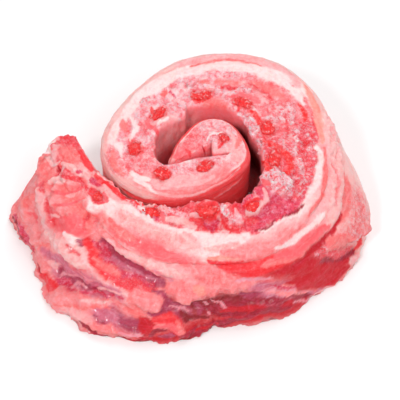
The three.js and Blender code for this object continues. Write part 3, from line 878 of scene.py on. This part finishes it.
def fine_relief(coat, flat, points):
    """Lumps, grains and lengthwise creases, as strong as each tissue has them.

    Creases between the lumps are redder and dimmer, painted shade, and their tops paler, painted light.
    Grains and streaks are mottled, dimmer where they sink and paler where they rise, partly their own
    tone and partly painted shade and light.
    """
    bent = points + 2.5 * np.column_stack([noise(points, 7, seed) for seed in (91, 92, 93)])
    big, small, tiny = puffs(bent, 9, 51), puffs(bent, 4, 54), puffs(bent, 2, 57)
    grains, lines = noises(points, GRAINS), noises(flat, STREAKS)
    lump, grain, streak = coat[:, LUMP], coat[:, GRAIN], coat[:, STREAK]
    close = 1 - 0.5 * smooth(flat[:, 0] / RIND_PITCH, 11, 12.5)
    relief = close * (lump * (2.2 * big + 1.7 * small + 0.7 * tiny)
                      + 1.5 * grain * grains + 0.7 * streak * lines)

    # Where the lumps sink, for painted shade, and where they rise, for painted light.
    crease = smooth(-(0.4 * big + 0.5 * small + 0.3 * tiny), 0.0, 1.0)
    crest = smooth(0.3 * big + 0.5 * small + 0.4 * tiny, 0.1, 0.9)
    colour = coat[:, :3]
    deeper, paler, fleck = colour * HOLLOW_SHADE_AND_GRAIN, colour ** RISE_LIGHT_AND_GRAIN, colour ** FLECK
    # Painted shade in the creases and painted light on the crests; grains and streaks sink dimmer and
    # rise paler, partly painted shade and light.
    for other, amount in (
            (deeper, crease * (0.25 + 0.6 * lump)),
            (paler, crest * (0.2 + 0.4 * lump)),
            (deeper, 0.9 * grain * smooth(-grains, 0.15, 0.8)),
            (fleck, grain * smooth(grains, 0.2, 0.8)),
            (deeper, 0.6 * streak * smooth(-lines, 0.2, 1.0)),
            (paler, 0.8 * streak * smooth(lines, 0.1, 0.9))):
        colour = mix(colour, other, np.clip(amount, 0, 1)[:, None])
    return np.hstack([colour, coat[:, 3:]]), relief


def ragged_edges(along, girth, points):
    """The tufts of the sawn inner rim at the front, and the torn outline of the foot."""
    rim = bell((girth - 1) / 0.14) * smooth(along, 0.9, 1.6) * (1 - smooth(along, 5.2, 6.2))
    foot = bell((girth + 1) / 0.16) * (1 - smooth(along, 6.5, 7.5))
    return rim * noises(points, RIM_TUFTS) + foot * noises(points, TORN_FOOT)


# ---- meshes


def grid_normals(points, columns, rows):
    grid = points.reshape(columns, rows, 3)
    lengthwise = np.gradient(grid, axis=0)
    round_it = np.roll(grid, -1, axis=1) - np.roll(grid, 1, axis=1)
    normal = np.cross(lengthwise, round_it)
    normal /= np.maximum(np.linalg.norm(normal, axis=2, keepdims=True), 1e-9)
    return normal.reshape(-1, 3)


def new_mesh_object(name, points, faces, coat, flat):
    """A shaded mesh in metres, with its tissue channels as attributes."""
    mesh = bpy.data.meshes.new(name)
    mesh.from_pydata((points * MM).tolist(), [], faces)
    mesh.polygons.foreach_set("use_smooth", [True] * len(mesh.polygons))
    tint = mesh.color_attributes.new("tint", "FLOAT_COLOR", "POINT")
    tint.data.foreach_set("color", np.column_stack([coat[:, :3], np.ones(len(coat))]).ravel())
    for channel, label in ((GRAIN, "grain"), (STREAK, "streak"), (GLOSS, "gloss")):
        values = mesh.attributes.new(label, "FLOAT", "POINT")
        values.data.foreach_set("value", coat[:, channel].copy())
    place = mesh.attributes.new("slab", "FLOAT_VECTOR", "POINT")
    place.data.foreach_set("vector", (flat * MM).ravel())
    mesh.update()
    made = bpy.data.objects.new(name, mesh)
    bpy.context.scene.collection.objects.link(made)
    return made


def band(near, far):
    """The quads between two rings of points."""
    return np.column_stack([near, far, np.roll(far, -1), np.roll(near, -1)])


def smooth_along(values, columns, rows):
    """Values of the grid, each mixed with its neighbours."""
    grid = values.reshape(columns, rows)
    grid = (grid + np.roll(grid, 1, axis=1) + np.roll(grid, -1, axis=1)) / 3
    padded = np.vstack([grid[:1], grid, grid[-1:]])
    return ((padded[:-2] + padded[1:-1] + padded[2:]) / 3).ravel()


SMOOTHINGS = 3
UNDER_FLAT = 0.9  # the share of the relief that is taken out under the foot
LOWEST = 0.3  # the lowest point, clear of the floor


def slab_mesh():
    along_lines, girth_lines = grid_lines()
    columns, rows = len(along_lines), len(girth_lines)
    along = np.repeat(along_lines, rows)
    girth = np.tile(girth_lines, columns)
    depth, height = section(girth)
    _, _, _, (inner, rim, _, crest, _) = roll_frame(along)
    width = rim + inner
    flat = np.column_stack([along * RIND_PITCH, depth * width, height * crest])
    points = slab_points(along, depth, height)
    normals = grid_normals(points, columns, rows)
    where = along, girth, depth, width
    coat, relief = paint(*where, points)
    coat, fine = fine_relief(coat, flat, points)
    for _ in range(SMOOTHINGS):
        relief = smooth_along(relief, columns, rows)
    relief += fine + ragged_edges(along, girth, points)
    relief = sink_under_ribs(relief, where)
    relief *= 1 - UNDER_FLAT * smooth(girth, 1.9, 2.0)
    points = points + normals * relief[:, None]
    points[:, 2] = np.maximum(points[:, 2], LOWEST)

    faces = []
    for i in range(columns - 1):
        a = i * rows + np.arange(rows)
        b = i * rows + (np.arange(rows) + 1) % rows
        faces += np.column_stack([a, b, b + rows, a + rows]).tolist()
    for column, flip in ((0, False), (columns - 1, True)):
        points, coat, flat, faces = close_end(
            points, coat, flat, faces, column * rows, along_lines[column], girth_lines, flip)
    return new_mesh_object("pork_belly", points, faces, coat, flat)


def end_face(along, girth, part):
    """A ring of the strip's end face, part of the way from its rim to its middle."""
    depth, height = section(girth)
    places = np.full(len(girth), float(along))
    return slab_points(places, mix(depth, 0.5, part), mix(height, 0.5, part))


def end_tissue(points, depth):
    """The tissue of the strip's end faces, and its blotches."""
    blotch = rough(points, 9, 81)
    coat = over(tissue("fat"), "pink meat", smooth(depth, 0.2, 0.35))
    coat = over(coat, "lean", 0.8 * smooth(blotch, 0, 0.4))
    return over(coat, "white", 0.7 * smooth(-blotch, 0.2, 0.4)), blotch


def close_end(points, coat, flat, faces, first, along, girth, flip):
    """Fills one end of the strip with rings that close on its middle."""
    rows = len(girth)
    outer = np.arange(first, first + rows)
    rim_coat, rim_flat = coat[outer], flat[outer]
    out_of_place = points[outer] - end_face(along, girth, 0)
    middle = rim_flat.mean(axis=0)
    for ring in range(1, CAP_RINGS):
        part = ring / CAP_RINGS
        ring_points = end_face(along, girth, part) + out_of_place * (1 - smooth(part, 0, 0.3))
        inside, blotch = end_tissue(ring_points, mix(section(girth)[0], 0.5, part))
        ring_points[:, :2] += part * (1.6 * blotch + 0.6 * noise(ring_points, 2, 84))[:, None]
        inner = np.arange(len(points), len(points) + rows)
        points = np.vstack([points, ring_points])
        coat = np.vstack([coat, mix(rim_coat, inside, smooth(part, 0, 0.15))])
        flat = np.vstack([flat, mix(rim_flat, middle, part)])
        quads = band(outer, inner)
        faces += (quads[:, ::-1] if flip else quads).tolist()
        outer = inner
    fan = np.column_stack([outer, np.full(rows, len(points)), np.roll(outer, -1)])
    faces += (fan[:, ::-1] if flip else fan).tolist()
    points = np.vstack([points, end_face(along, girth[:1], 1)])
    return points, np.vstack([coat, tissue("pink meat")]), np.vstack([flat, middle]), faces


RIB_HALO, RIB_HALO_FRAY, RIB_HALO_RED = 0.9, 3, 0.75
RIB_SINK, RIB_SINK_MARGIN = 1.2, 0.9
RIB_EDGE = (0.85, 1.15)


def rib_cover(rib, spare, where):
    """How much of the top cut lies over a rib and a margin round it, from 0 to 1."""
    along, girth, depth, width = where
    place, out, half, _ = rib
    values, rates = through_stations(np.array([place]))
    pitch = np.linalg.norm(rates[0, :2])
    offset = values[0, 3] - depth * width
    away = np.hypot((along - place) * pitch / (half[0] + spare), (offset - out) / (half[1] + spare))
    return (1 - smooth(away, *RIB_EDGE)) * ((girth > 0) & (girth < 1))


def red_round_ribs(coat, fray, where):
    """Stains the meat of the top cut close to each rib."""
    for rib in RIBS:
        halo = rib_cover(rib, RIB_HALO + RIB_HALO_FRAY * fray, where)
        coat = over(coat, "scarlet", RIB_HALO_RED * halo)
    return coat


def sink_under_ribs(relief, where):
    """Makes room for each rib's sawn end in the top cut."""
    for rib in RIBS:
        relief = mix(relief, -RIB_SINK, rib_cover(rib, -RIB_SINK_MARGIN, where))
    return relief


RIB_AROUND = 44
RIB_SIDE_RINGS = 14
RIB_END_RINGS = 12
RIB_WAIST = 0.12


def rib_mesh(index, rib):
    """A rib with its spongy sawn end."""
    place, out, half, proud = rib
    along = np.array([place])
    spot, way, outward, (inner, rim, _, _, _) = roll_frame(along)
    top = slab_points(along, (rim - out) / (rim + inner), np.array([1.0]))[0, 2] + proud
    seed = 100 + index * 7
    turn = np.arange(RIB_AROUND) * 2 * np.pi / RIB_AROUND
    up = np.linspace(0, 1, RIB_SIDE_RINGS)
    sizes = np.append(1 - RIB_WAIST * np.sin(np.pi * up), 1 - np.arange(1, RIB_END_RINGS) / RIB_END_RINGS)
    levels = np.append(mix(LOWEST, top, up), [top] * (RIB_END_RINGS - 1))
    local = np.column_stack([np.outer(sizes, np.cos(turn) * half[0]).ravel(),
                             np.outer(sizes, np.sin(turn) * half[1]).ravel(),
                             np.repeat(levels, RIB_AROUND)])
    bottom = len(local) + 1
    local = np.vstack([local, (0, 0, top), (0, 0, LOWEST)])
    reach = np.hypot(local[:, 0] / half[0], local[:, 1] / half[1])
    edge = np.column_stack([local[:, :2] / np.maximum(reach, 0.2)[:, None], local[:, 2] * 0.2])
    ragged = 1 + 0.28 * noise(edge, 2.4, seed) + 0.2 * noise(edge, 1.1, seed + 4)
    local[:, :2] *= ragged[:, None]
    near_end = smooth(local[:, 2], top - 2, top)
    local[:, 2] += near_end * (0.55 * noise(local, 1.1, seed + 1) + 0.5 * noise(local, 2.4, seed + 2))
    flat = spot[0] + ROLL_AXIS + local[:, :1] * way[0] + (out + local[:, 1:2]) * outward[0]
    points = np.column_stack([flat, local[:, 2]])

    coat = np.tile(tissue("scarlet"), (len(points), 1))
    fleck = noise(points, 1.3, seed + 3)
    coat = over(coat, "rose", 0.7 * smooth(fleck, 0.4, 0.7))
    coat = over(coat, "ruby", 0.6 * smooth(-fleck, 0.4, 0.8))

    faces = []
    last = (len(sizes) - 1) * RIB_AROUND
    for first in range(0, last, RIB_AROUND):
        ring = first + np.arange(RIB_AROUND)
        faces += band(ring, ring + RIB_AROUND).tolist()
    for i in range(RIB_AROUND):
        after = (i + 1) % RIB_AROUND
        faces += [[last + i, bottom - 1, last + after], [after, bottom, i]]
    return new_mesh_object(f"rib_bone_{index + 1:02d}", points, faces, coat, points)


# ---- materials


def new_material(name):
    material = bpy.data.materials.new(name)
    material.use_nodes = True
    return material, material.node_tree.nodes["Principled BSDF"]


# The scales of the material's textures, a metre, and the colour multiplied in where the bump sinks,
# painted shade, and in the pits of granular tissue, partly painted shade of small holes.
CLOUDS, FIBRES, CELLS = 330, 700, 620
FIBRE_STRETCH = (0.12, 1.0, 1.0)
HOLLOW_SHADE_AND_PIT_TINT = (0.96, 0.32, 0.36, 1)


def flesh_material(name, roughness, subsurface):
    """Raw flesh: the tissue's colour with fine marbling and grains, moist, slightly clear."""
    material, shader = new_material(name)
    nodes, links = material.node_tree.nodes, material.node_tree.links

    def feed(node, values):
        """Sets each of a node's inputs to a constant or links it to another node's output."""
        for label, value in values.items():
            if isinstance(value, bpy.types.NodeSocket):
                links.new(value, node.inputs[label])
            else:
                node.inputs[label].default_value = value

    def add(kind, output, inputs, **settings):
        """The named output of a new node."""
        node = nodes.new("ShaderNode" + kind)
        for label, value in settings.items():
            setattr(node, label, value)
        feed(node, inputs)
        return node.outputs[output]

    def attribute(label, output="Fac"):
        return add("Attribute", output, {}, attribute_name=label)

    def cloudy(vector, scale, detail, roughness=0.5):
        return add("TexNoise", "Fac", {"Vector": vector, "Scale": scale, "Detail": detail,
                                       "Roughness": roughness})

    def ramp(value, low, high):
        return add("MapRange", "Result", {"Value": value, "From Min": low, "From Max": high},
                   interpolation_type="SMOOTHSTEP")

    def times(a, b):
        return add("Math", "Value", {0: a, 1: b}, operation="MULTIPLY")

    def plus(a, b):
        return add("Math", "Value", {0: a, 1: b}, operation="ADD")

    def blend(part, a, b, mode="MIX"):
        return add("Mix", 2, {0: part, 6: a, 7: b}, data_type="RGBA", blend_type=mode)

    place = add("TexCoord", "Object", {})
    slab = attribute("slab", "Vector")
    lengthwise = add("Mapping", "Vector", {"Vector": slab, "Scale": FIBRE_STRETCH})
    tint = attribute("tint", "Color")
    grain, streak, gloss = attribute("grain"), attribute("streak"), attribute("gloss")
    cloud = cloudy(place, CLOUDS, 6, 0.7)
    cells = add("TexVoronoi", "Distance", {"Vector": place, "Scale": CELLS})

    # The clouds both raise the bump and tint it: dimmer where it sinks, painted shade, and paler where it
    # rises, painted light. Streaks are the tissue's own paler lines; pits are dimmer and specks paler,
    # partly the crumb's own tone and partly painted shade in holes and painted glints.
    deeper = blend(1.0, tint, HOLLOW_SHADE_AND_PIT_TINT, "MULTIPLY")
    paler = add("Gamma", "Color", {"Color": tint, "Gamma": 0.45})
    mottle = plus(times(grain, 0.85), 0.12)
    colour = blend(times(ramp(cloud, 0.49, 0.41), mottle), tint, deeper)
    colour = blend(times(ramp(cloud, 0.53, 0.6), mottle), colour, paler)
    lines = times(ramp(cloudy(lengthwise, FIBRES, 4), 0.52, 0.7), streak)
    colour = blend(times(lines, 0.5), colour, paler)
    pits = times(ramp(cloudy(place, FIBRES, 3), 0.46, 0.36), grain)
    colour = blend(times(pits, 0.8), colour, deeper)
    specks = times(ramp(cells, 0.4, 0.2), grain)
    colour = blend(times(specks, 0.7), colour, paler)

    fine = plus(times(cloud, plus(mottle, 0.2)), plus(times(specks, 0.8), times(lines, 0.6)))
    feed(shader, {
        "Base Color": colour,
        "Roughness": plus(plus(times(gloss, -0.2), roughness), times(cloud, 0.15)),
        "Normal": add("Bump", "Normal", {"Strength": 0.9, "Distance": 0.0014, "Height": fine}),
        "Subsurface Weight": subsurface,
        "Subsurface Radius": (1.0, 0.15, 0.12),
        "Subsurface Scale": 0.006,
        "Specular IOR Level": 0.25,
        "Coat Weight": times(gloss, 0.5),
        "Coat Roughness": 0.12,
    })
    return material


def floor_material():
    material, shader = new_material("pale_floor")
    shader.inputs["Base Color"].default_value = (0.95, 0.95, 0.95, 1)
    shader.inputs["Roughness"].default_value = 0.9
    shader.inputs["Specular IOR Level"].default_value = 0.1
    return material


# ---- dressing the frame

pork = flesh_material("raw_pork", 0.55, 0.6)
bone = flesh_material("raw_bone", 0.6, 0.4)

belly = slab_mesh()
belly.data.materials.append(pork)
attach(belly, "root")
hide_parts("belly_slab")

for index, rib in enumerate(RIBS):
    piece = rib_mesh(index, rib)
    piece.data.materials.append(bone)
    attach(piece, "root")
    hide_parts(f"rib_{index + 1:02d}")

# ---- studio

FLOOR_SIZE = 6.0
bpy.ops.mesh.primitive_plane_add(size=FLOOR_SIZE)
floor = bpy.context.object
floor.name = "floor"
floor.data.materials.append(floor_material())


def aimed(name, data, place):
    """A camera or lamp at a place in metres, looking at the middle of the roll."""
    made = bpy.data.objects.new(name, data)
    made.location = place
    made.rotation_euler = (Vector(TARGET * MM) - Vector(place)).to_track_quat("-Z", "Y").to_euler()
    bpy.context.scene.collection.objects.link(made)
    return made


camera_data = bpy.data.cameras.new("camera")
camera_data.lens = LENS
camera_data.sensor_width = SENSOR
camera = aimed("camera", camera_data, CAMERA * MM)
bpy.context.scene.camera = camera


def soft_light(name, place, size, watts):
    data = bpy.data.lights.new(name, "AREA")
    data.shape = "DISK"
    data.size = size
    data.energy = watts
    aimed(name, data, place)


soft_light("key", (-0.4, -0.6, 0.95), 0.2, 3.7)
soft_light("front", (0.3, -0.6, 1.0), 0.7, 4.2)
soft_light("back", (0.25, 0.6, 1.0), 0.7, 4.3)

world = bpy.data.worlds.new("studio")
world.use_nodes = True
sky = world.node_tree.nodes["Background"]
sky.inputs["Color"].default_value = (1, 1, 1, 1)
sky.inputs["Strength"].default_value = 0.5
bpy.context.scene.world = world
bpy.context.scene.view_settings.view_transform = "Standard"
